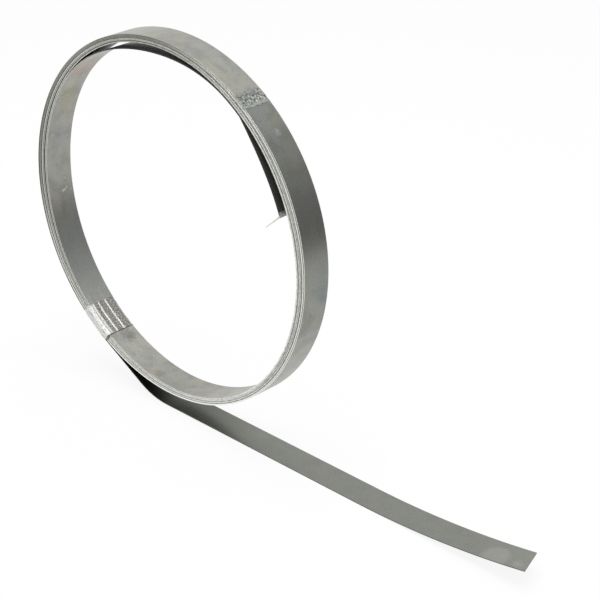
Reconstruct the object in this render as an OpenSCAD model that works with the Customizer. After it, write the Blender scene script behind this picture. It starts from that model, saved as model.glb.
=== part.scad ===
// A coil of flat steel strip, wound in one roll and held by two wraps of clear tape.
// The coil stands on its free outer end, which lies along the floor, and its free inner
// end bows away from the roll. X runs along the outer end, Y along the coil's axis.

/* [Strip] */
// Width of the strip
strip_w = 30; // [20:1:40]
// Thickness of the strip
strip_t = 0.9; // [0.6:0.1:0.9]

/* [Coil] */
// Outer radius of the coil
coil_r = 180; // [170:1:190]
// Turns of strip in the coil
turns = 8; // [5:1:10]
// Radial room of one turn
turn_pitch = 1; // [1:0.05:1.2]
// Depth of the line between two turns, on the ends of the coil
line_depth = 0.6; // [0.3:0.1:1]
// How far the turns stand out of line with each other, sideways
wander = 0.7; // [0:0.1:1.2]

/* [Outer end] */
// Height of the coil's underside above the floor
lift = 14; // [12:0.5:16]
// Angle round from the coil's lowest line at which the outer end leaves it
leave_angle = 30.5; // [29:0.5:32]
// Radius of the bend that lays the outer end on the floor
bend_r = 75; // [65:5:80]
// Length of the outer end that lies flat on the floor
flat_l = 250; // [220:1:270]
// Radius of the upward curl at the tip of the outer end
curl_r = 936; // [800:1:1100]
// Reach of the outer end's tip from the coil's axis
reach = 430; // [410:1:450]
// How far the cut at the tip runs out of square
cut_slant = 10; // [0:1:12]

/* [Inner end] */
// Angle at which the inner end lifts off the inside of the coil
lift_angle = 146; // [135:1:150]
// Angle at which the inner end comes back to the coil
back_angle = 58; // [58:1:61]
// Angle at which the inner end leaves the coil again
free_angle = 52; // [48:1:52]
// Angle of the inner end's tip
tip_angle = 20; // [15:1:30]
// Gap under the bow of the inner end
bow_gap = 5.5; // [3:0.5:7]
// Gap at the inner end's tip
tip_gap = 8; // [5:0.5:10]

/* [Tape] */
// Width of the lower tape
lower_tape_w = 50; // [40:1:50]
// Width of the upper tape
upper_tape_w = 25; // [18:1:26]
// Thickness of the tape
tape_t = 0.3; // [0.2:0.05:0.5]
// Room between the tape and the strip
tape_room = 0.15; // [0.1:0.05:0.2]

/* [Hidden] */
$fn = 96;

half_w = strip_w / 2;
bore_r = coil_r - turns * turn_pitch;
last_turn = turns - 1;
line_half_w = 0.3 * turn_pitch;

// The coil's axis: the origin is on the floor, at the middle of the whole length
axis_x = (coil_r - reach) / 2;
axis_z = coil_r + lift;

// How far a straight stretch of strip reaches into its neighbours
joint = 0.001;

// The outer end leaves a hair inside the coil's surface, so that the two are one solid
leave_r = coil_r - 0.05;
leave_h = axis_z - leave_r * cos(leave_angle);
slope_l = (leave_h - bend_r * (1 - cos(leave_angle))) / sin(leave_angle);
flat_x = (bend_r - leave_r) * sin(leave_angle) + slope_l * cos(leave_angle);
curl_x = flat_x + flat_l;
curl_sweep = asin((reach + cut_slant - curl_x) / curl_r);

// The inner end comes out of the innermost turn over this angle, and from there on it
// clears the coil by at least the seat gap
emerge_sweep = 15;
seat_gap = 0.3;
buried_gap = -strip_t - 0.1;
bow_steps = 32;
spring_steps = 12;

// The bow is fullest past its middle, towards the place where it comes back
bow_skew = 1.2;

// Sideways place of a turn, counted from the innermost; the outermost is at the middle
function turn_y(i) = wander * sin(150 * (last_turn - i));

// Gap between the inside of the coil and the inner end, at an angle round the coil
function emerge(a) = buried_gap + (seat_gap - buried_gap) * min(1, (lift_angle - a) / emerge_sweep);
function bow(a) = a < back_angle ? 0
    : bow_gap * pow(sin(180 * pow((lift_angle - a) / (lift_angle - back_angle), bow_skew)), 2);
function spring(a) = a > free_angle ? 0
    : tip_gap * (1 - pow((a - tip_angle) / (free_angle - tip_angle), 3));
function inner_end_r(a) = bore_r - emerge(a) - bow(a) - spring(a);

function backwards(points) = [for (i = [len(points) - 1 : -1 : 0]) points[i]];
function round_points(angles, inset) = [for (a = angles) (inner_end_r(a) - inset) * [cos(a), sin(a)]];

// Outline of one end of the wound turns, from the bore outwards; side is 1 or -1
function turn_edges(side) = [
    for (i = [0 : last_turn])
        let (
            r = bore_r + i * turn_pitch,
            y = side * half_w + turn_y(i),
            next_y = side * half_w + turn_y(i + 1),
            line_y = side * (min(side * y, side * next_y) - line_depth)
        )
        each [
            [i == 0 ? r : r + line_half_w, y],
            [i == last_turn ? r + turn_pitch : r + turn_pitch - line_half_w, y],
            if (i < last_turn) [r + turn_pitch, line_y],
        ]
];

// Draws in the coil's own plane, centred on its axis
module in_coil_plane() {
    translate([axis_x, 0, axis_z]) rotate([90, 0, 0]) children();
}

// A stretch of strip bent round the drawing's centre
module bent_strip(outside_r, from, sweep) {
    rotate([0, 0, from]) rotate_extrude(angle = sweep)
        translate([outside_r - strip_t, -half_w]) square([strip_t, strip_w]);
}

// A straight stretch reaches a hair into its neighbours, so that they are one solid
module straight_strip(length) {
    translate([-joint, 0, -half_w]) cube([length + 2 * joint, strip_t, strip_w]);
}

// The wound turns are one turned ring, with a fine line between turns on both ends
module wound_turns() {
    rotate_extrude() polygon(concat(turn_edges(1), backwards(turn_edges(-1))));
}

// Slopes off the coil, bends on to the floor, lies flat and curls up at its tip
module outer_end() {
    rotate([0, 0, -leave_angle]) {
        translate([0, -leave_r]) straight_strip(slope_l);
        translate([slope_l, bend_r - leave_r]) bent_strip(bend_r, -90, leave_angle);
    }
    translate([flat_x, -axis_z]) {
        straight_strip(flat_l);
        translate([flat_l, curl_r]) bent_strip(curl_r, -90, curl_sweep);
    }
}

// What the cut at the outer end's tip takes away
module tip_cut() {
    far_x = reach + strip_w + cut_slant;
    translate([axis_x, 0, -1]) linear_extrude(axis_z)
        polygon([
            [reach + cut_slant, -half_w - strip_w],
            [reach - 2 * cut_slant, half_w + strip_w],
            [far_x, half_w + strip_w],
            [far_x, -half_w - strip_w],
        ]);
}

// Lifts off the innermost turn, bows, touches the coil again and springs away to its tip
module inner_end() {
    angles = concat(
        [for (k = [0 : bow_steps]) lift_angle + (free_angle - lift_angle) * k / bow_steps],
        [for (k = [1 : spring_steps]) free_angle + (tip_angle - free_angle) * k / spring_steps]
    );
    translate([0, 0, turn_y(0)]) linear_extrude(strip_w, center = true)
        polygon(concat(round_points(angles, 0), backwards(round_points(angles, strip_t))));
}

module steel_strip() {
    color("silver") difference() {
        in_coil_plane() {
            wound_turns();
            outer_end();
            inner_end();
        }
        tip_cut();
    }
}

// A tape wrapped round the coil's section, from one angle to another
module tape_wrap(from, sweep, inside_r) {
    inner_half = half_w + wander + tape_room;
    outer_half = inner_half + tape_t;
    outside_r = coil_r + tape_room;
    rotate([0, 0, from]) rotate_extrude(angle = sweep) difference() {
        translate([inside_r - tape_t, -outer_half])
            square([outside_r - inside_r + 2 * tape_t, 2 * outer_half]);
        translate([inside_r, -inner_half])
            square([outside_r - inside_r, 2 * inner_half]);
    }
}

function arc_angle(width) = width / coil_r * 180 / PI;

module lower_tape() {
    sweep = arc_angle(lower_tape_w);
    color("whitesmoke", 0.6) in_coil_plane()
        tape_wrap(-90 - leave_angle - sweep, sweep, bore_r - tape_room);
}

module upper_tape() {
    sweep = arc_angle(upper_tape_w);
    color("whitesmoke", 0.6) in_coil_plane()
        tape_wrap(free_angle, sweep, bore_r - seat_gap - strip_t - tape_room);
}

steel_strip();
lower_tape();
upper_tape();
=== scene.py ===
import math

import bmesh
import bpy
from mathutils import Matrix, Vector, noise


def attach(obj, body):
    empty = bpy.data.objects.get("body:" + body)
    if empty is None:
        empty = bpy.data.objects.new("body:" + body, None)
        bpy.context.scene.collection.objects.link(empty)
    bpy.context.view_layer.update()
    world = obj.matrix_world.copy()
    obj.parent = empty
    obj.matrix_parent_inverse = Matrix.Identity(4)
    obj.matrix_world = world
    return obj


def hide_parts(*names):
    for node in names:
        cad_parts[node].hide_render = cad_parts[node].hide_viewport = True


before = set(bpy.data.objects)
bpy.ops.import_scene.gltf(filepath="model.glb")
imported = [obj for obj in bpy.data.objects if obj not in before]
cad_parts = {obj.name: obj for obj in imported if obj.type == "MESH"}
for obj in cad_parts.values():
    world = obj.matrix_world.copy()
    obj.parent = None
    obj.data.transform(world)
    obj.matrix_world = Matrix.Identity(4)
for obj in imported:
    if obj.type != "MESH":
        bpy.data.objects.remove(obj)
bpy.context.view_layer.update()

# Steel strip: one flat strip of cold-rolled steel, slit to 30 mm and wound up from its inner end.
# The straight strip is made first and then rolled up as the real one was, with its free outer end
# laid along the floor and its free inner end sprung off the inside of the roll.
MM = 0.001
strip_width, strip_thickness = 30 * MM, 0.9 * MM
half_width = strip_width / 2
edge_round = 0.08 * MM
coil_radius = 180 * MM
turn_room = 0.95 * MM
axis_x, axis_z = -125 * MM, 194 * MM

# The outer end slopes off the roll, bends on to the floor, lies flat and curls up to a slanted cut.
leave_degrees = 30.5
meeting_degrees = 270 - leave_degrees
leave_angle = math.radians(leave_degrees)
bend_radius, curl_radius = 75 * MM, 936 * MM
flat_length = 250 * MM
tip_reach = 430 * MM
tip_slant, slant_fade = 10.2 * MM, 60 * MM
slope_length = (
    axis_z - coil_radius * math.cos(leave_angle) - bend_radius * (1 - math.cos(leave_angle))
) / math.sin(leave_angle)
flat_start = (bend_radius - coil_radius) * math.sin(leave_angle) + slope_length * math.cos(leave_angle)
bend_length = bend_radius * leave_angle
curl_length = curl_radius * math.asin((tip_reach - flat_start - flat_length) / curl_radius)
outer_end_length = slope_length + bend_length + flat_length + curl_length

# The inner end lifts off the inside of the roll, bows, comes back to it and springs free to its tip.
# Its angles are in degrees round the roll, from the right and up.
wound_turns = 8
lift_angle, back_angle, free_angle, inner_tip_angle = 146, 58, 52, 20
emerge_sweep = 15
wound_sweep = math.radians(360 * wound_turns + meeting_degrees - lift_angle)
inner_sweep = math.radians(lift_angle - inner_tip_angle)
seat_gap, bow_gap, tip_gap = 0.3 * MM, 5.5 * MM, 8 * MM
bow_skew = 1.2

# The turns stand out of line sideways: they lean, they wander, and one has slipped.
outer_lean, inner_lean, lean_fade = 2 * MM, -1.5 * MM, 60 * MM
sideways_wander, wander_step = 0.25 * MM, math.radians(150)
sideways_slip, slipped_turn, slip_spread = 1.2 * MM, 6.22, 0.2


def swept_angle(length):
    """Angle wound over a length of strip, from where it meets the roll."""
    middle = coil_radius - strip_thickness / 2
    return (middle - math.sqrt(middle**2 - turn_room * length / math.pi)) * 2 * math.pi / turn_room


def wound_length(sweep):
    """Length of strip wound over an angle, from where it meets the roll."""
    return (coil_radius - strip_thickness / 2) * sweep - turn_room * sweep**2 / (4 * math.pi)


def inner_end_gap(angle):
    """How far the inner end stands off the roll, at an angle in degrees."""
    gap = seat_gap * min(1, (lift_angle - angle) / emerge_sweep)
    if angle > back_angle:
        share = max(0, lift_angle - angle) / (lift_angle - back_angle)
        gap += bow_gap * math.sin(math.pi * share**bow_skew) ** 2
    if angle < free_angle:
        gap += tip_gap * (1 - ((angle - inner_tip_angle) / (free_angle - inner_tip_angle)) ** 3)
    return gap


def sideways_place(turn, angle):
    """How far the strip stands out of line, at a turn counted from the outside and an angle round.

    The outer turns lean to the back on the right, and the inner ones on the left.
    """
    lean = outer_lean + (inner_lean - outer_lean) * turn / wound_turns
    slip = sideways_slip * math.exp(-(((turn - slipped_turn) / slip_spread) ** 2))
    return lean * math.cos(angle) + sideways_wander * math.sin(wander_step * turn) + slip


def strip_place(length):
    """Place of the strip's outer face, the way to its inner face, and how far it stands sideways.

    The length counts from where the strip meets the roll, and is below zero on the outer end.
    """
    if length >= 0:
        sweep = swept_angle(length)
        radius = coil_radius - turn_room * sweep / (2 * math.pi)
        angle = -math.pi / 2 - leave_angle - sweep
        if sweep > wound_sweep:
            radius -= inner_end_gap(lift_angle - math.degrees(sweep - wound_sweep))
        way_in = Vector((-math.cos(angle), -math.sin(angle)))
        sideways = sideways_place(sweep / (2 * math.pi), angle)
        return way_in * -radius, way_in, sideways
    out = -length
    sideways = -outer_lean * math.sin(leave_angle) * math.exp(-out / lean_fade)
    tilt = leave_angle
    spot = Vector((-math.sin(tilt), -math.cos(tilt))) * coil_radius
    step = min(out, slope_length)
    spot += Vector((math.cos(tilt), -math.sin(tilt))) * step
    out -= step
    if out > 0:
        tilt = leave_angle - min(out, bend_length) / bend_radius
        spot += bend_radius * Vector(
            (math.sin(leave_angle) - math.sin(tilt), math.cos(leave_angle) - math.cos(tilt))
        )
        out -= bend_length
    if out > 0:
        step = min(out, flat_length)
        spot.x += step
        out -= step
    if out > 0:
        tilt = -out / curl_radius
        spot += curl_radius * Vector((math.sin(-tilt), 1 - math.cos(tilt)))
    return spot, Vector((math.sin(tilt), math.cos(tilt))), sideways


def lengthwise_edges(bm, length):
    """The edges that run the whole length of a straight strip or tape."""
    return [e for e in bm.edges if abs(e.verts[0].co.x - e.verts[1].co.x) > length / 2]


# The strip's map runs along it in X and across it in Y, in metres, with the inner face further up.
roll_length = wound_length(wound_sweep + inner_sweep)
strip_length = outer_end_length + roll_length
length_cuts, width_cuts = 1560, (-10 * MM, -5 * MM, 0, 5 * MM, 10 * MM)
sharp_angle = math.radians(60)
inner_face = 200 * MM
bm = bmesh.new()
bmesh.ops.create_cube(bm, size=1)
bmesh.ops.scale(bm, vec=(strip_length, strip_width, strip_thickness), verts=bm.verts)
bmesh.ops.translate(
    bm, vec=(strip_length / 2 - outer_end_length, 0, strip_thickness / 2), verts=bm.verts
)
bmesh.ops.bevel(
    bm, geom=lengthwise_edges(bm, strip_length), offset=edge_round,
    segments=3, profile=0.5, affect="EDGES", material=-1,
)
for cut in width_cuts:
    bmesh.ops.bisect_plane(
        bm, geom=bm.verts[:] + bm.edges[:] + bm.faces[:], plane_co=(0, cut, 0), plane_no=(0, 1, 0)
    )
bmesh.ops.subdivide_edges(
    bm, edges=lengthwise_edges(bm, strip_length), cuts=length_cuts, use_grid_fill=True
)
lay = bm.loops.layers.uv.new("strip")
for face in bm.faces:
    middle = face.calc_center_median()
    flat_face = abs(middle.y) < half_width - edge_round and abs(face.normal.z) > 0.9
    face.smooth = True
    face.material_index = 0 if flat_face else 1
    map_up = inner_face if middle.z > strip_thickness / 2 else 0
    for loop in face.loops:
        co = loop.vert.co
        across = co.y if flat_face else co.y + co.z
        loop[lay].uv = (co.x, across + map_up)
for edge in bm.edges:
    if len({f.material_index for f in edge.link_faces}) > 1 or edge.calc_face_angle(0) > sharp_angle:
        edge.smooth = False
for vert in bm.verts:
    length, across, depth = vert.co
    from_tip = length + outer_end_length
    if from_tip < slant_fade:
        length += tip_slant * (1 - from_tip / slant_fade) * (across + half_width) / strip_width
    spot, way_in, sideways = strip_place(length)
    spot = spot + way_in * depth
    vert.co = (axis_x + spot.x, across + sideways, axis_z + spot.y)
bmesh.ops.recalc_face_normals(bm, faces=bm.faces)
scene = bpy.context.scene


def add_piece(name, bm):
    """Turns a finished bmesh into an object of the scene, at the origin."""
    mesh = bpy.data.meshes.new(name)
    bm.to_mesh(mesh)
    bm.free()
    piece = bpy.data.objects.new(name, mesh)
    scene.collection.objects.link(piece)
    return piece


def add_material(piece, name):
    """Gives a piece one more material, and returns its node tree and its shader."""
    material = bpy.data.materials.new(name)
    material.use_nodes = True
    piece.data.materials.append(material)
    return material.node_tree, material.node_tree.nodes["Principled BSDF"]


def colour(code):
    """An sRGB hex colour as linear values."""
    parts = [int(code[i : i + 2], 16) / 255 for i in (1, 3, 5)]
    return [c / 12.92 if c <= 0.04045 else ((c + 0.055) / 1.055) ** 2.4 for c in parts] + [1.0]


def add_node(tree, kind, links=None, stops=(), **settings):
    """Adds a node. Links maps an input to a number, a colour or another node's output.

    Stops are the places and colours along a colour ramp.
    """
    node = tree.nodes.new(kind)
    for name, value in settings.items():
        setattr(node, name, value)
    for name, value in (links or {}).items():
        if isinstance(value, bpy.types.NodeSocket):
            tree.links.new(value, node.inputs[name])
        else:
            node.inputs[name].default_value = value
    if stops:
        ramp = node.color_ramp.elements
        ramp.remove(ramp[1])
        ramp[0].position = stops[0][0]
        ramp[0].color = colour(stops[0][1])
        for at, code in stops[1:]:
            ramp.new(at).color = colour(code)
    return node


def outer_place(angle):
    """Length along the strip at an angle in degrees round the outside of the roll."""
    return wound_length(math.radians(meeting_degrees - angle))


def inner_place(angle):
    """Length along the strip at an angle in degrees round the inside of the roll."""
    return wound_length(wound_sweep + math.radians(lift_angle - angle))


strip = add_piece("wound_strip", bm)

# Cold-rolled steel: satin grey, clouded by a dried oil film that is olive here and pinkish there, with
# faint rolling lines along the strip, fine grain, stains where oil ran, even stretches and painted
# shade.
# The grain and the lines are drawn coarser than the real ones so that they show.
tree, shader = add_material(strip, "cold_rolled_steel")
place = add_node(tree, "ShaderNodeTexCoord").outputs["UV"]
axes = add_node(tree, "ShaderNodeSeparateXYZ", {0: place})
cloud = add_node(
    tree, "ShaderNodeTexNoise",
    {"Vector": place, "Scale": 1 / (35 * MM), "Detail": 3.0, "Roughness": 0.55},
)
patch = add_node(
    tree, "ShaderNodeTexNoise",
    {"Vector": place, "Scale": 1 / (14 * MM), "Detail": 3.0, "Roughness": 0.5},
)
grain = add_node(tree, "ShaderNodeTexNoise", {"Vector": place, "Scale": 1 / (1.5 * MM), "Detail": 1.0})
film = add_node(
    tree, "ShaderNodeValToRGB", {"Fac": cloud.outputs["Fac"]},
    stops=(
        (0.32, "#9a9c99"), (0.46, "#a2a29d"), (0.58, "#a5a49a"), (0.7, "#a9a49f"),
    ),
)
patches = add_node(
    tree, "ShaderNodeValToRGB", {"Fac": patch.outputs["Fac"]},
    stops=(
        (0.4, "#ecedeb"), (0.42, "#f4f4f3"), (0.49, "#f6f6f5"), (0.51, "#fcfcfa"),
        (0.58, "#fcfbfc"), (0.6, "#ffffff"),
    ),
)
grains = add_node(
    tree, "ShaderNodeValToRGB", {"Fac": grain.outputs["Fac"]},
    stops=((0.35, "#efefef"), (0.65, "#ffffff")),
)
steel_tone = add_node(
    tree, "ShaderNodeMix", {0: 1.0, 6: film.outputs["Color"], 7: patches.outputs["Color"]},
    data_type="RGBA", blend_type="MULTIPLY",
).outputs[2]

# Stains and painted shade along the strip: how and how much they cover, from and to a length, how soft
# their borders are, and their tone. Those that are mixed in set a stretch to an even tone, so their
# clouds are faint. The darkest is painted shade on the roll behind the inner end.
border_wave = 6 * MM
tip_side = -outer_end_length
stains_and_shade = (
    # The first darkens the outside a little, from below the upper tape down the right.
    ("MULTIPLY", 1.0, outer_place(51.8), outer_place(-20), 2 * MM, "#e6ebec"),
    ("MIX", 0.9, outer_place(28), outer_place(-2), 25 * MM, "#8f908b"),
    ("MIX", 0.7, inner_place(235), inner_place(195), 12 * MM, "#a8aba8"),
    # Painted shade: the roll's inside behind the inner end, dark in the narrow gap between them.
    ("MULTIPLY", 1.0, inner_place(360 + 150), inner_place(360 + 64), 3 * MM, "#2c2d2c"),
    ("MULTIPLY", 1.0, tip_side - 20 * MM, -30 * MM, 20 * MM, "#dbdcd6"),
    ("MIX", 0.7, tip_side - 50 * MM, -40 * MM, 40 * MM, "#848781"),
    ("SCREEN", 1.0, tip_side - 40 * MM, tip_side + 40 * MM, 30 * MM, "#3a3a35"),
    # Painted shade: the outer end is darker under the roll, where it leaves it.
    ("MULTIPLY", 1.0, -150 * MM, -10 * MM, 50 * MM, "#b4b9b7"),
)
drift = add_node(
    tree, "ShaderNodeMath", {0: patch.outputs["Fac"], 1: border_wave, 2: axes.outputs["X"]},
    operation="MULTIPLY_ADD",
).outputs[0]
for kind, share, start, end, soft, code in stains_and_shade:
    begun = add_node(
        tree, "ShaderNodeMapRange",
        {"Value": drift, "From Min": start - soft, "From Max": start + soft, "To Max": share},
    )
    ended = add_node(
        tree, "ShaderNodeMapRange",
        {"Value": drift, "From Min": end - soft, "From Max": end + soft, "To Min": 1.0, "To Max": 0.0},
    )
    inside = add_node(
        tree, "ShaderNodeMath", {0: begun.outputs["Result"], 1: ended.outputs["Result"]},
        operation="MULTIPLY",
    )
    steel_tone = add_node(
        tree, "ShaderNodeMix", {0: inside.outputs[0], 6: steel_tone, 7: colour(code)},
        data_type="RGBA", blend_type=kind,
    ).outputs[2]

# Spots, and a patch of painted shade: how they cover, where along the strip, where across it, how wide,
# how ragged, and their tone.
spots_and_shade = (
    ("SCREEN", outer_place(43), 2 * MM, 4.5 * MM, 1.0, "#5c6163"),
    ("SCREEN", outer_place(43.4), 2.4 * MM, 1.6 * MM, 1.0, "#6c7174"),
    ("SCREEN", inner_place(186.6), inner_face + 7 * MM, 1.6 * MM, 1.0, "#8c8c88"),
    ("SCREEN", inner_place(187), inner_face + 4.5 * MM, 1.6 * MM, 1.0, "#a0a09c"),
    ("SCREEN", inner_place(187.3), inner_face + 2 * MM, 1.8 * MM, 1.0, "#a0a09c"),
    ("SCREEN", inner_place(183.2), inner_face + 6.5 * MM, 1.2 * MM, 1.0, "#8c8c88"),
    ("SCREEN", inner_place(187.6), inner_face + 12 * MM, 1.2 * MM, 1.0, "#8c8c88"),
    ("SCREEN", inner_place(166), inner_face - 9 * MM, 3 * MM, 1.0, "#5c5c56"),
    ("SCREEN", tip_side + 11 * MM, inner_face - 8 * MM, 6 * MM, 1.0, "#50504a"),
    ("SCREEN", tip_side + 35 * MM, inner_face - 7 * MM, 16 * MM, 0.3, "#50504a"),
    ("MULTIPLY", inner_place(151), inner_face, 14 * MM, 0.6, "#f6f5e6"),
    ("MULTIPLY", inner_place(134), inner_face, 24 * MM, 0.6, "#fbe9e4"),
    # Painted shade: darker inside the roll just past the lower tape.
    ("MULTIPLY", inner_place(242), inner_face + 3 * MM, 10 * MM, 1.0, "#dcdcd8"),
    ("MULTIPLY", inner_place(262), inner_face - 7 * MM, 7 * MM, 0.6, "#eae9e2"),
)
fleck = add_node(
    tree, "ShaderNodeTexNoise",
    {"Vector": place, "Scale": 1 / (4 * MM), "Detail": 3.0, "Roughness": 0.6},
)
for kind, along, across, size, ragged, code in spots_and_shade:
    away = add_node(
        tree, "ShaderNodeVectorMath", {0: place, 1: (along, across, 0.0)}, operation="DISTANCE"
    )
    frayed = add_node(
        tree, "ShaderNodeMath",
        {0: fleck.outputs["Fac"], 1: 2 * ragged * size, 2: away.outputs["Value"]},
        operation="MULTIPLY_ADD",
    )
    rim, heart = size * (1 + ragged), size * (0.8 + 0.6 * ragged)
    inside = add_node(
        tree, "ShaderNodeMapRange", {"Value": frayed.outputs[0], "From Min": rim, "From Max": heart}
    )
    steel_tone = add_node(
        tree, "ShaderNodeMix", {0: inside.outputs["Result"], 6: steel_tone, 7: colour(code)},
        data_type="RGBA", blend_type=kind,
    ).outputs[2]

# Painted shade darkens the outer face of the inner end, and it is made less metallic, which takes shine
# off it.
on_inner_end = add_node(
    tree, "ShaderNodeMath", {0: axes.outputs["X"], 1: inner_place(128)}, operation="GREATER_THAN"
)
on_outer_face = add_node(
    tree, "ShaderNodeMath", {0: axes.outputs["Y"], 1: inner_face / 2}, operation="LESS_THAN"
)
inner_end_shade = add_node(
    tree, "ShaderNodeMath", {0: on_inner_end.outputs[0], 1: on_outer_face.outputs[0]},
    operation="MULTIPLY",
)
steel_tone = add_node(
    tree, "ShaderNodeMix", {0: inner_end_shade.outputs[0], 6: steel_tone, 7: colour("#a0a2a0")},
    data_type="RGBA", blend_type="MULTIPLY",
).outputs[2]
steel_tone = add_node(
    tree, "ShaderNodeMix", {0: 1.0, 6: steel_tone, 7: grains.outputs["Color"]},
    data_type="RGBA", blend_type="MULTIPLY",
).outputs[2]
tree.links.new(steel_tone, shader.inputs["Base Color"])
bare_metal = add_node(
    tree, "ShaderNodeMapRange", {"Value": inner_end_shade.outputs[0], "To Min": 1.0, "To Max": 0.4}
)
tree.links.new(bare_metal.outputs["Result"], shader.inputs["Metallic"])
drawn_out = add_node(
    tree, "ShaderNodeMapping", {"Vector": place, "Scale": (1 / (83.3 * MM), 1 / (1.11 * MM), 1.0)}
)
rolling_lines = add_node(
    tree, "ShaderNodeTexNoise", {"Vector": drawn_out.outputs["Vector"], "Scale": 1.0, "Detail": 3.0}
)
dullness = add_node(
    tree, "ShaderNodeMapRange",
    {
        "Value": rolling_lines.outputs["Fac"],
        "From Min": 0.3, "From Max": 0.7, "To Min": 0.27, "To Max": 0.37,
    },
)
tree.links.new(dullness.outputs["Result"], shader.inputs["Roughness"])

# Slit steel edge: sheared bright metal, darker on top of the roll with painted shade, and in bands at
# its upper left. The outermost turn is white on the right, a painted highlight, and the inner ones are
# stippled, with greyer bands. Both free ends are dark near the roll with painted shade. The stipple is
# drawn coarser than the real one so that it shows.
tree, shader = add_material(strip, "slit_steel_edge")
place = add_node(tree, "ShaderNodeTexCoord").outputs["UV"]
axes = add_node(tree, "ShaderNodeSeparateXYZ", {0: place})
wound = add_node(tree, "ShaderNodeMapRange", {"Value": axes.outputs["X"], "From Max": roll_length})
# Painted shade at both ends of the ramp, and a painted highlight where the outermost turn is white.
tone = add_node(
    tree, "ShaderNodeValToRGB", {"Fac": wound.outputs["Result"]},
    stops=(
        (0.004, "#7a7b78"), (0.022, "#7a7b78"), (0.032, "#e0e1dd"), (0.056, "#e0e1dd"),
        (0.064, "#ffffff"), (0.116, "#ffffff"), (0.124, "#e6e7e3"), (0.178, "#e6e7e3"),
        (0.186, "#f4f4f1"), (0.234, "#f4f4f1"), (0.242, "#ecede9"), (0.31, "#ecede9"),
        (0.318, "#b4b5b1"), (0.338, "#b4b5b1"), (0.346, "#ecede9"), (0.362, "#ecede9"),
        (0.372, "#aeafab"), (0.416, "#aeafab"), (0.424, "#eeefeb"), (0.55, "#f2f3ef"),
        (0.558, "#b8b9b5"), (0.578, "#b8b9b5"), (0.586, "#f2f3ef"), (0.75, "#e2e3df"),
        (0.84, "#eaebe7"), (0.85, "#f4f4f1"), (0.962, "#f4f4f1"), (0.97, "#4a4b4a"),
    ),
)
upper_left_bands = add_node(
    tree, "ShaderNodeValToRGB", {"Fac": wound.outputs["Result"]},
    stops=(
        (0.3, "#c4c4be"), (0.33, "#ffffff"), (0.64, "#ffffff"), (0.67, "#b4b4ae"),
        (0.77, "#b4b4ae"), (0.8, "#ffffff"),
    ),
)
round_place = add_node(tree, "ShaderNodeTexCoord").outputs["Object"]
round_axes = add_node(tree, "ShaderNodeSeparateXYZ", {0: round_place})
up_left = add_node(
    tree, "ShaderNodeMath", {0: round_axes.outputs["Z"], 1: round_axes.outputs["X"]},
    operation="SUBTRACT",
)
on_upper_left = add_node(
    tree, "ShaderNodeMapRange",
    {"Value": up_left.outputs[0], "From Min": 430 * MM, "From Max": 500 * MM},
)
# Painted shade: the edge is darker on top of the roll.
on_top = add_node(
    tree, "ShaderNodeMapRange",
    {"Value": round_axes.outputs["Z"], "From Min": 335 * MM, "From Max": 365 * MM},
)
off_the_left = add_node(
    tree, "ShaderNodeMapRange",
    {"Value": round_axes.outputs["X"], "From Min": -270 * MM, "From Max": -200 * MM},
)
on_inner_turns = add_node(
    tree, "ShaderNodeMapRange", {"Value": wound.outputs["Result"], "From Min": 0.23, "From Max": 0.238}
)
stippled = add_node(
    tree, "ShaderNodeMath", {0: on_inner_turns.outputs["Result"], 1: off_the_left.outputs["Result"]},
    operation="MULTIPLY",
)
drawn_out = add_node(
    tree, "ShaderNodeMapping", {"Vector": place, "Scale": (1 / (4 * MM), 1 / (1 * MM), 1.0)}
)
stipple = add_node(
    tree, "ShaderNodeTexNoise", {"Vector": drawn_out.outputs["Vector"], "Scale": 1.0, "Detail": 2.0}
)
stipples = add_node(
    tree, "ShaderNodeValToRGB", {"Fac": stipple.outputs["Fac"]},
    stops=((0.42, "#dededb"), (0.54, "#ffffff")),
)
edge_tone = tone.outputs["Color"]
# The edge darkens with the stipple, in bands at the upper left, and with painted shade on top.
for share, darker in (
    (stippled.outputs[0], stipples.outputs["Color"]),
    (on_upper_left.outputs["Result"], upper_left_bands.outputs["Color"]),
    (on_top.outputs["Result"], colour("#e2e2de")),
):
    edge_tone = add_node(
        tree, "ShaderNodeMix", {0: share, 6: edge_tone, 7: darker},
        data_type="RGBA", blend_type="MULTIPLY",
    ).outputs[2]
# Painted shade: the outer end's edges are near black where it leaves the roll, then a darker grey.
for start, end, code in ((1 * MM, -4 * MM, "#2c2d2c"), (-70 * MM, -120 * MM, "#686966")):
    reached = add_node(
        tree, "ShaderNodeMapRange", {"Value": axes.outputs["X"], "From Min": start, "From Max": end}
    )
    edge_tone = add_node(
        tree, "ShaderNodeMix", {0: reached.outputs["Result"], 6: edge_tone, 7: colour(code)},
        data_type="RGBA", blend_type="MIX",
    ).outputs[2]
tree.links.new(edge_tone, shader.inputs["Base Color"])
shader.inputs["Metallic"].default_value = 1.0
shader.inputs["Roughness"].default_value = 0.48
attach(strip, "root")
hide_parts("steel_strip")

# Lower tape: a 50 mm wrap of clear packing tape round the roll, where the outer end leaves it.
# It is stuck down by hand, so air is caught under it in long ridges along the strip and in crinkles.
tape_thickness = 0.06 * MM
tape_room, lean_room = 0.3 * MM, 1.4 * MM
film_gap = 0.1 * MM
corner_round = 1.2 * MM
section_steps = 32

# A tape's map runs along the strip in X. In Y it has the film inside the roll, then that on the rims and
# then that on the outside.
rims, outside_face = 100 * MM, 200 * MM


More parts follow.
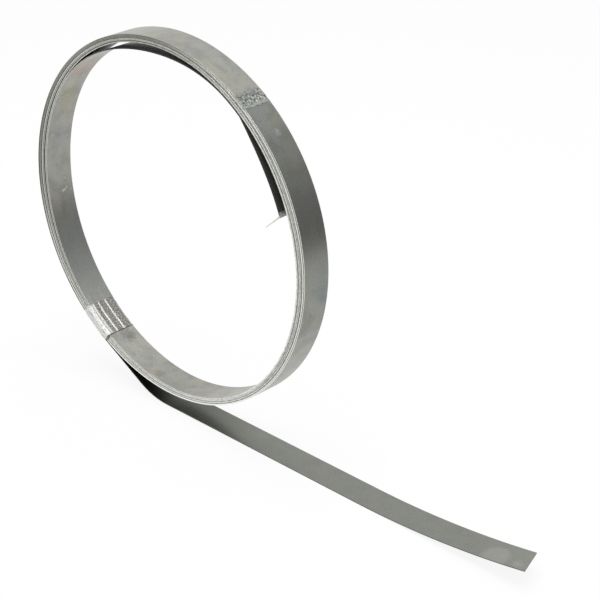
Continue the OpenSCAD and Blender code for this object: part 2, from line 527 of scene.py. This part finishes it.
def tape_sleeve(name, middle_angle, tape_width, inside_radius, rise):
    """A film wrapped round the roll's section. Rise gives its height off the roll at a place on it."""
    turns_in = (meeting_degrees - middle_angle) / 360
    outside_radius = coil_radius - turn_room * turns_in + film_gap
    height = outside_radius - inside_radius
    width = strip_width + 2 * (lean_room + tape_room)
    bm = bmesh.new()
    bmesh.ops.create_cube(bm, size=1)
    bmesh.ops.scale(bm, vec=(tape_width, width, height), verts=bm.verts)
    ends = [f for f in bm.faces if abs(f.normal.x) > 0.9]
    bmesh.ops.delete(bm, geom=ends, context="FACES_ONLY")
    bmesh.ops.bevel(
        bm, geom=lengthwise_edges(bm, tape_width), offset=corner_round,
        segments=4, profile=0.5, affect="EDGES", material=-1,
    )
    cuts = [((0, 1, 0), width, step) for step in range(1, section_steps)]
    cuts += [((0, 0, 1), height, step) for step in range(6, section_steps, 6)]
    for way, size, step in cuts:
        bmesh.ops.bisect_plane(
            bm, geom=bm.verts[:] + bm.edges[:] + bm.faces[:],
            plane_co=Vector(way) * size * (step / section_steps - 0.5), plane_no=way,
        )
    bmesh.ops.subdivide_edges(
        bm, edges=lengthwise_edges(bm, tape_width), cuts=int(tape_width / MM), use_grid_fill=True
    )
    bmesh.ops.recalc_face_normals(bm, faces=bm.faces)
    if sum(f.normal.dot(f.calc_center_median()) for f in bm.faces) < 0:
        bmesh.ops.reverse_faces(bm, faces=bm.faces)
    lay = bm.loops.layers.uv.new("tape")
    for face in bm.faces:
        face.smooth = True
        on_rim = abs(face.normal.y) > 0.7
        for loop in face.loops:
            co = loop.vert.co
            on_face = co.y + (0 if co.z < 0 else outside_face)
            loop[lay].uv = (co.x, co.z + rims if on_rim else on_face)
    bm.normal_update()
    moves = [(v, v.normal * rise(v.co.x, v.co.y, v.co.z / height)) for v in bm.verts]
    for vert, move in moves:
        vert.co += move
    for vert in bm.verts:
        angle = math.radians(middle_angle) + vert.co.x / coil_radius
        radius = (inside_radius + outside_radius) / 2 + vert.co.z
        vert.co = (axis_x + radius * math.cos(angle), vert.co.y, axis_z + radius * math.sin(angle))
    bmesh.ops.recalc_face_normals(bm, faces=bm.faces)
    bmesh.ops.solidify(bm, geom=bm.faces[:], thickness=tape_thickness)
    return add_piece(name, bm)


def crinkle(along, across, up, size):
    """Crumpling of a film, of about this size. Up runs from -0.5 inside the roll to 0.5 outside it."""
    section_height = 9 * MM
    return noise.noise(Vector((along, across, up * section_height)) / size)


def lower_rise(along, across, up):
    """Crinkles all over, and inside the roll three ridges of air that bend a little.

    A ridge has its middle across the strip, its spread and its height, in mm.
    """
    ridges = ((-12.5, 2.6, 0.5), (-3.5, 0.7, 0.45), (5.3, 0.7, 0.45))
    height = 0.1 * MM * crinkle(along, across, up, 3 * MM)
    height += 0.05 * MM * crinkle(along, across, up, 1.2 * MM)
    if up < 0:
        bend = 0.6 * MM * math.sin(along / (14 * MM))
        for middle, spread, rise in ridges:
            off = (across - middle * MM - bend) / (spread * MM)
            height += rise * MM * math.exp(-off * off)
    return height + 0.12 * MM


lower_tape = tape_sleeve(
    "lower_tape_film",
    middle_angle=meeting_degrees - 8, tape_width=50 * MM, inside_radius=171.3 * MM, rise=lower_rise,
)

# Clear packing tape: a glossy film, clear where it sticks. Inside the roll it is a dull speckled grey
# from the trapped air, with white painted highlights along the ridges and on the rims, and a dark line
# at its cut edge.
# The specks are drawn coarser than the real ones so that they show.
tree, shader = add_material(lower_tape, "clear_packing_tape")
shader.inputs["Roughness"].default_value = 0.16
shader.inputs["IOR"].default_value = 1.49
place = add_node(tree, "ShaderNodeTexCoord").outputs["UV"]
axes = add_node(tree, "ShaderNodeSeparateXYZ", {0: place})
specks = add_node(
    tree, "ShaderNodeTexNoise",
    {"Vector": place, "Scale": 1 / (1.6 * MM), "Detail": 3.0, "Roughness": 0.65},
)
speckle = add_node(
    tree, "ShaderNodeValToRGB", {"Fac": specks.outputs["Fac"]},
    stops=(
        (0.36, "#66645e"), (0.5, "#8f8d86"), (0.58, "#a4a39c"), (0.66, "#f2f2ee"),
    ),
)
ridge_sway = 1.6 * MM
sway = add_node(tree, "ShaderNodeTexNoise", {"Vector": place, "Scale": 1 / (20 * MM), "Detail": 2.0})
swayed = add_node(
    tree, "ShaderNodeMath", {0: sway.outputs["Fac"], 1: ridge_sway, 2: axes.outputs["Y"]},
    operation="MULTIPLY_ADD",
)
ridge_place = add_node(
    tree, "ShaderNodeMapRange",
    {"Value": swayed.outputs[0], "From Min": -15.2 * MM, "From Max": 16.8 * MM},
)
ridges = add_node(
    tree, "ShaderNodeValToRGB", {"Fac": ridge_place.outputs["Result"]},
    stops=(
        (0.0, "#ffffff"), (0.1, "#ffffff"), (0.13, "#8a8a8a"), (0.16, "#ffffff"), (0.2, "#ffffff"),
        (0.25, "#000000"), (0.36, "#000000"), (0.372, "#ffffff"), (0.416, "#ffffff"),
        (0.43, "#000000"), (0.635, "#000000"), (0.647, "#ffffff"), (0.691, "#ffffff"),
        (0.705, "#000000"), (0.96, "#000000"), (1.0, "#f4f4f4"),
    ),
)
beads = add_node(
    tree, "ShaderNodeMapRange",
    {"Value": specks.outputs["Fac"], "From Min": 0.36, "From Max": 0.5, "To Min": 0.35, "To Max": 1.0},
)
drawn_out = add_node(
    tree, "ShaderNodeMapping", {"Vector": place, "Scale": (1 / (12 * MM), 1 / (0.7 * MM), 1.0)}
)
pulled = add_node(
    tree, "ShaderNodeTexNoise", {"Vector": drawn_out.outputs["Vector"], "Scale": 1.0, "Detail": 2.0}
)
streaks = add_node(
    tree, "ShaderNodeMapRange",
    {"Value": pulled.outputs["Fac"], "From Min": 0.36, "From Max": 0.47, "To Min": 0.15, "To Max": 1.0},
)
on_rims = add_node(
    tree, "ShaderNodeMath", {0: axes.outputs["Y"], 1: rims / 2}, operation="GREATER_THAN"
)
highlight_breakup = add_node(
    tree, "ShaderNodeMix",
    {0: on_rims.outputs[0], 2: beads.outputs["Result"], 3: streaks.outputs["Result"]},
)
# Painted highlight: white where the ridges and the rims of the film catch the light.
painted_highlight = add_node(
    tree, "ShaderNodeMath", {0: ridges.outputs["Color"], 1: highlight_breakup.outputs[0]}, operation="MULTIPLY"
)
tape_length = add_node(
    tree, "ShaderNodeMapRange",
    {"Value": axes.outputs["X"], "From Min": -25 * MM, "From Max": 25 * MM},
)
cut_edges = add_node(
    tree, "ShaderNodeValToRGB", {"Fac": tape_length.outputs["Result"]},
    stops=(
        (0.22, "#000000"), (0.227, "#a0a0a0"), (0.234, "#a0a0a0"), (0.242, "#000000"),
        (0.98, "#000000"), (0.99, "#d0d0d0"),
    ),
)
stuck = add_node(
    tree, "ShaderNodeMapRange",
    {
        "Value": axes.outputs["X"],
        "From Min": -14.2 * MM, "From Max": -13.4 * MM, "To Min": 0.05, "To Max": 1.0,
    },
)
not_outside = add_node(
    tree, "ShaderNodeMapRange",
    {
        "Value": axes.outputs["Y"],
        "From Min": rims + 20 * MM, "From Max": outside_face - 40 * MM, "To Min": 1.0, "To Max": 0.2,
    },
)
inside = add_node(
    tree, "ShaderNodeMapRange",
    {
        "Value": axes.outputs["Y"],
        "From Min": rims - 60 * MM, "From Max": rims - 40 * MM, "To Min": 0.82, "To Max": 0.0,
    },
)
cover = add_node(
    tree, "ShaderNodeMath", {0: painted_highlight.outputs[0], 1: inside.outputs["Result"]}, operation="MAXIMUM"
)
for share in (stuck, not_outside):
    cover = add_node(
        tree, "ShaderNodeMath", {0: cover.outputs[0], 1: share.outputs["Result"]}, operation="MULTIPLY"
    )
dark_line = add_node(
    tree, "ShaderNodeMath", {0: cut_edges.outputs["Color"], 1: not_outside.outputs["Result"]},
    operation="MULTIPLY",
)
cover = add_node(
    tree, "ShaderNodeMath", {0: cover.outputs[0], 1: dark_line.outputs[0]}, operation="MAXIMUM"
)
# The painted highlight is white, and the line at the cut edge is dark.
tape_tone = speckle.outputs["Color"]
for share, code in ((painted_highlight, "#fcfcfa"), (dark_line, "#4c4b47")):
    tape_tone = add_node(
        tree, "ShaderNodeMix", {0: share.outputs[0], 6: tape_tone, 7: colour(code)},
        data_type="RGBA", blend_type="MIX",
    ).outputs[2]
tree.links.new(tape_tone, shader.inputs["Base Color"])
tree.links.new(cover.outputs[0], shader.inputs["Alpha"])
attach(lower_tape, "root")
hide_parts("lower_tape")

# Upper tape: a 25 mm wrap of the same tape that holds the inner end back against the roll.
# It has gone loose in small spots, so it shows as a mottled patch on the outside of the roll.


def upper_rise(along, across, up):
    """Crinkles all over."""
    height = 0.1 * MM * crinkle(along, across, up, 2.5 * MM)
    height += 0.04 * MM * crinkle(along, across, up, 1 * MM)
    return height + 0.1 * MM


upper_tape = tape_sleeve(
    "upper_tape_film",
    middle_angle=55.98, tape_width=25 * MM, inside_radius=170.4 * MM, rise=upper_rise,
)

# Crinkled packing tape: the same film, stuck down clear but for a patch outside, which is mottled pale
# where air is caught and dark where it sticks. The patch fades out upwards, and its lower edge is a pale
# wavy border.
tree, shader = add_material(upper_tape, "crinkled_packing_tape")
shader.inputs["Roughness"].default_value = 0.18
shader.inputs["IOR"].default_value = 1.49
place = add_node(tree, "ShaderNodeTexCoord").outputs["UV"]
axes = add_node(tree, "ShaderNodeSeparateXYZ", {0: place})
blots = add_node(
    tree, "ShaderNodeTexNoise",
    {"Vector": place, "Scale": 1 / (2.2 * MM), "Detail": 1.0, "Roughness": 0.5},
)
mottle = add_node(
    tree, "ShaderNodeValToRGB", {"Fac": blots.outputs["Fac"]},
    stops=(
        (0.37, "#5f635e"), (0.46, "#868a85"), (0.54, "#9b9f9a"), (0.63, "#c8ccc7"),
    ),
)
border_wave = 5 * MM
wave = add_node(tree, "ShaderNodeTexNoise", {"Vector": place, "Scale": 1 / (6 * MM), "Detail": 2.0})
waved = add_node(
    tree, "ShaderNodeMath", {0: wave.outputs["Fac"], 1: border_wave, 2: axes.outputs["X"]},
    operation="MULTIPLY_ADD",
).outputs[0]
patch = add_node(
    tree, "ShaderNodeMapRange",
    {"Value": waved, "From Min": 8.5 * MM, "From Max": -1 * MM, "To Max": 0.75},
)
border = add_node(
    tree, "ShaderNodeMapRange",
    {"Value": waved, "From Min": -6.2 * MM, "From Max": -7.2 * MM, "To Max": 0.8},
)
above_edge = add_node(
    tree, "ShaderNodeMapRange", {"Value": waved, "From Min": -9.2 * MM, "From Max": -8.6 * MM}
)
on_outside = add_node(
    tree, "ShaderNodeMapRange",
    {
        "Value": axes.outputs["Y"],
        "From Min": outside_face - 60 * MM, "From Max": outside_face - 20 * MM, "To Min": 0.02,
    },
)
off_the_corner = add_node(
    tree, "ShaderNodeMapRange",
    {
        "Value": axes.outputs["Y"],
        "From Min": outside_face - 15.4 * MM, "From Max": outside_face - 14.4 * MM,
    },
)
cover = add_node(
    tree, "ShaderNodeMath", {0: patch.outputs["Result"], 1: border.outputs["Result"]},
    operation="MAXIMUM",
)
for share in (above_edge, on_outside, off_the_corner):
    cover = add_node(
        tree, "ShaderNodeMath", {0: cover.outputs[0], 1: share.outputs["Result"]}, operation="MULTIPLY"
    )
patch_tone = add_node(
    tree, "ShaderNodeMix",
    {0: border.outputs["Result"], 6: mottle.outputs["Color"], 7: colour("#a8aca8")},
    data_type="RGBA", blend_type="MIX",
).outputs[2]
tree.links.new(patch_tone, shader.inputs["Base Color"])
tree.links.new(cover.outputs[0], shader.inputs["Alpha"])
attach(upper_tape, "root")
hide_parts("upper_tape")

# Tape scrap: a torn end of the tape folded over the tip of the inner end, cloudy and a little yellow.
# A thin sliver of it stands out past the strip's near edge and droops. Each row is a place across the
# strip, the scrap's width there and how far it droops, in mm.
scrap_rows = (
    (-23.5, 0.5, 9), (-19.5, 1.2, 4), (-15.3, 2.2, 0), (-15.2, 6, 0), (0, 6, 0), (15.2, 5, 0),
)
last_row = len(scrap_rows) - 1
tip_lap = 0.2
scrap_lift = 0.12 * MM
bm = bmesh.new()
bmesh.ops.create_grid(bm, x_segments=2, y_segments=last_row, size=0.5)
lay = bm.loops.layers.uv.new("scrap")
for face in bm.faces:
    for loop in face.loops:
        across, scrap_width, droop = scrap_rows[round((loop.vert.co.y + 0.5) * last_row)]
        loop[lay].uv = (scrap_width * (loop.vert.co.x + 0.5) * MM, across * MM)
for vert in bm.verts:
    across, scrap_width, droop = scrap_rows[round((vert.co.y + 0.5) * last_row)]
    from_tip = (scrap_width + tip_lap) * (vert.co.x + 0.5) - tip_lap
    spot, way_in, sideways = strip_place(roll_length - from_tip * MM)
    spot = spot - way_in * scrap_lift
    vert.co = (axis_x + spot.x - droop * MM, across * MM + sideways, axis_z + spot.y - droop * MM)
bmesh.ops.recalc_face_normals(bm, faces=bm.faces)
bmesh.ops.solidify(bm, geom=bm.faces[:], thickness=tape_thickness)
for face in bm.faces:
    face.smooth = True
scrap = add_piece("tape_scrap", bm)

# Cloudy packing tape: old film, milky and half see-through, clearer away from the strip's tip.
tree, shader = add_material(scrap, "cloudy_packing_tape")
shader.inputs["Roughness"].default_value = 0.25
shader.inputs["IOR"].default_value = 1.49
place = add_node(tree, "ShaderNodeTexCoord").outputs["UV"]
axes = add_node(tree, "ShaderNodeSeparateXYZ", {0: place})
haze = add_node(tree, "ShaderNodeTexNoise", {"Vector": place, "Scale": 1 / (5 * MM), "Detail": 1.0})
milky = add_node(
    tree, "ShaderNodeValToRGB", {"Fac": haze.outputs["Fac"]},
    stops=((0.35, "#dcdad0"), (0.65, "#fbfbf6")),
)
tree.links.new(milky.outputs["Color"], shader.inputs["Base Color"])
cover = add_node(
    tree, "ShaderNodeMapRange",
    {"Value": axes.outputs["X"], "From Min": 5.5 * MM, "From Max": 1 * MM, "To Max": 0.7},
)
tree.links.new(cover.outputs["Result"], shader.inputs["Alpha"])
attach(scrap, "root")

# Floor: a wide sheet of matt white paper on a table, which carries the coil. It is lit white for the
# camera and for reflections, and keeps a soft shadow under the coil.
floor_half_side = 8
glow_share = 0.88
bm = bmesh.new()
bmesh.ops.create_grid(bm, x_segments=1, y_segments=1, size=floor_half_side)
floor = add_piece("floor", bm)
tree, shader = add_material(floor, "matt_white_paper")
shader.inputs["Base Color"].default_value = colour("#f6f6f5")
shader.inputs["Roughness"].default_value = 0.9
shader.inputs["Specular IOR Level"].default_value = 0.0
glow = add_node(tree, "ShaderNodeEmission", {"Color": colour("#ffffff"), "Strength": 1.0})
path = add_node(tree, "ShaderNodeLightPath")
seen = path.outputs["Is Camera Ray"]
for ray in ("Is Glossy Ray", "Is Transmission Ray"):
    seen = add_node(
        tree, "ShaderNodeMath", {0: seen, 1: path.outputs[ray]}, operation="MAXIMUM"
    ).outputs[0]
share = add_node(tree, "ShaderNodeMath", {0: seen, 1: glow_share}, operation="MULTIPLY")
lit_paper = add_node(
    tree, "ShaderNodeMixShader",
    {0: share.outputs[0], 1: shader.outputs["BSDF"], 2: glow.outputs["Emission"]},
)
tree.links.new(lit_paper.outputs["Shader"], tree.nodes["Material Output"].inputs["Surface"])

# Cards: two grey cards that only reflections see, as in a photo studio. One is a tall curved card
# behind the right of the coil, dark near its foot, and fades out at its left end. The other lies on
# the floor at the front left.
card_radius, card_height = 0.95, 1.5
card_start, card_sweep = math.radians(5), math.radians(100)
fade_start, fade_end = math.radians(88), math.radians(105)
bm = bmesh.new()
side = (math.cos(card_start) * card_radius, math.sin(card_start) * card_radius)
post = [bm.verts.new((*side, 0)), bm.verts.new((*side, card_height))]
post.append(bm.edges.new(post))
bmesh.ops.spin(bm, geom=post, cent=(0, 0, 0), axis=(0, 0, 1), angle=card_sweep, steps=30)
tall_card = add_piece("tall_card", bm)
tree, shader = add_material(tall_card, "graded_grey_card")
tree.nodes.remove(shader)
place = add_node(tree, "ShaderNodeTexCoord").outputs["Object"]
axes = add_node(tree, "ShaderNodeSeparateXYZ", {0: place})
height = add_node(tree, "ShaderNodeMapRange", {"Value": axes.outputs["Z"], "From Max": card_height})
grade = add_node(
    tree, "ShaderNodeValToRGB", {"Fac": height.outputs["Result"]},
    stops=(
        (0.0, "#a4a4a4"), (0.1, "#909090"), (0.22, "#a2a2a2"), (0.4, "#b9b9b9"), (0.6, "#d6d6d6"),
        (0.8, "#e9e9e9"), (1.0, "#f6f6f6"),
    ),
)
turned = add_node(
    tree, "ShaderNodeMath", {0: axes.outputs["Y"], 1: axes.outputs["X"]}, operation="ARCTAN2"
)
fade = add_node(
    tree, "ShaderNodeMapRange",
    {"Value": turned.outputs[0], "From Min": fade_start, "From Max": fade_end},
)
card_tone = add_node(
    tree, "ShaderNodeMix", {0: fade.outputs["Result"], 6: grade.outputs["Color"], 7: colour("#ffffff")},
    data_type="RGBA", blend_type="MIX",
).outputs[2]
glow = add_node(tree, "ShaderNodeEmission", {"Color": card_tone, "Strength": 1.0})
tree.links.new(glow.outputs["Emission"], tree.nodes["Material Output"].inputs["Surface"])

lying_width, lying_depth = 1.05, 1.25
lying_place = (-1.075, -0.675, 1 * MM)
bm = bmesh.new()
bmesh.ops.create_grid(bm, x_segments=1, y_segments=1, size=0.5)
bmesh.ops.scale(bm, vec=(lying_width, lying_depth, 1), verts=bm.verts)
bmesh.ops.translate(bm, vec=lying_place, verts=bm.verts)
lying_card = add_piece("lying_card", bm)
tree, shader = add_material(lying_card, "grey_card")
tree.nodes.remove(shader)
glow = add_node(tree, "ShaderNodeEmission", {"Color": colour("#b6b6b6"), "Strength": 1.0})
tree.links.new(glow.outputs["Emission"], tree.nodes["Material Output"].inputs["Surface"])
for card in (tall_card, lying_card):
    card.visible_camera = False
    card.visible_diffuse = False
    card.visible_shadow = False
    card.visible_transmission = False

# Light: one wide soft lamp overhead, as in a photo studio, and an even white surround.
# The surround is white for the camera and for reflections, and dimmer as a light.
lamp_data = bpy.data.lights.new("overhead_softbox", "AREA")
lamp_data.shape = "RECTANGLE"
lamp_data.size, lamp_data.size_y = 1.8, 1.8
lamp_data.energy = 32
lamp = bpy.data.objects.new("overhead_softbox", lamp_data)
lamp.location = (-0.1, 0.0, 2.3)
scene.collection.objects.link(lamp)

world = bpy.data.worlds.new("white_surround")
scene.world = world
world.use_nodes = True
tree = world.node_tree
back = tree.nodes["Background"]
back.inputs["Color"].default_value = colour("#ffffff")
path = add_node(tree, "ShaderNodeLightPath")
seen = path.outputs["Is Camera Ray"]
for ray in ("Is Glossy Ray", "Is Transmission Ray"):
    seen = add_node(
        tree, "ShaderNodeMath", {0: seen, 1: path.outputs[ray]}, operation="MAXIMUM"
    ).outputs[0]
strength = add_node(tree, "ShaderNodeMapRange", {"Value": seen, "To Min": 0.6, "To Max": 1.0})
tree.links.new(strength.outputs["Result"], back.inputs["Strength"])

# Camera: a long lens from the front right, looking down at the coil.
# Its place was fitted to the rims of the coil and to the outer end in the photo.
camera_dip, camera_turn = math.radians(27.026), math.radians(43.781)
camera_data = bpy.data.cameras.new("camera")
camera_data.lens = 104.22
camera_data.sensor_width = 36
camera = bpy.data.objects.new("camera", camera_data)
camera.location = (978.1 * MM, -983.0 * MM, 862.2 * MM)
camera.rotation_euler = (math.pi / 2 - camera_dip, 0, camera_turn)
scene.collection.objects.link(camera)
scene.camera = camera

scene.view_settings.view_transform = "Standard"
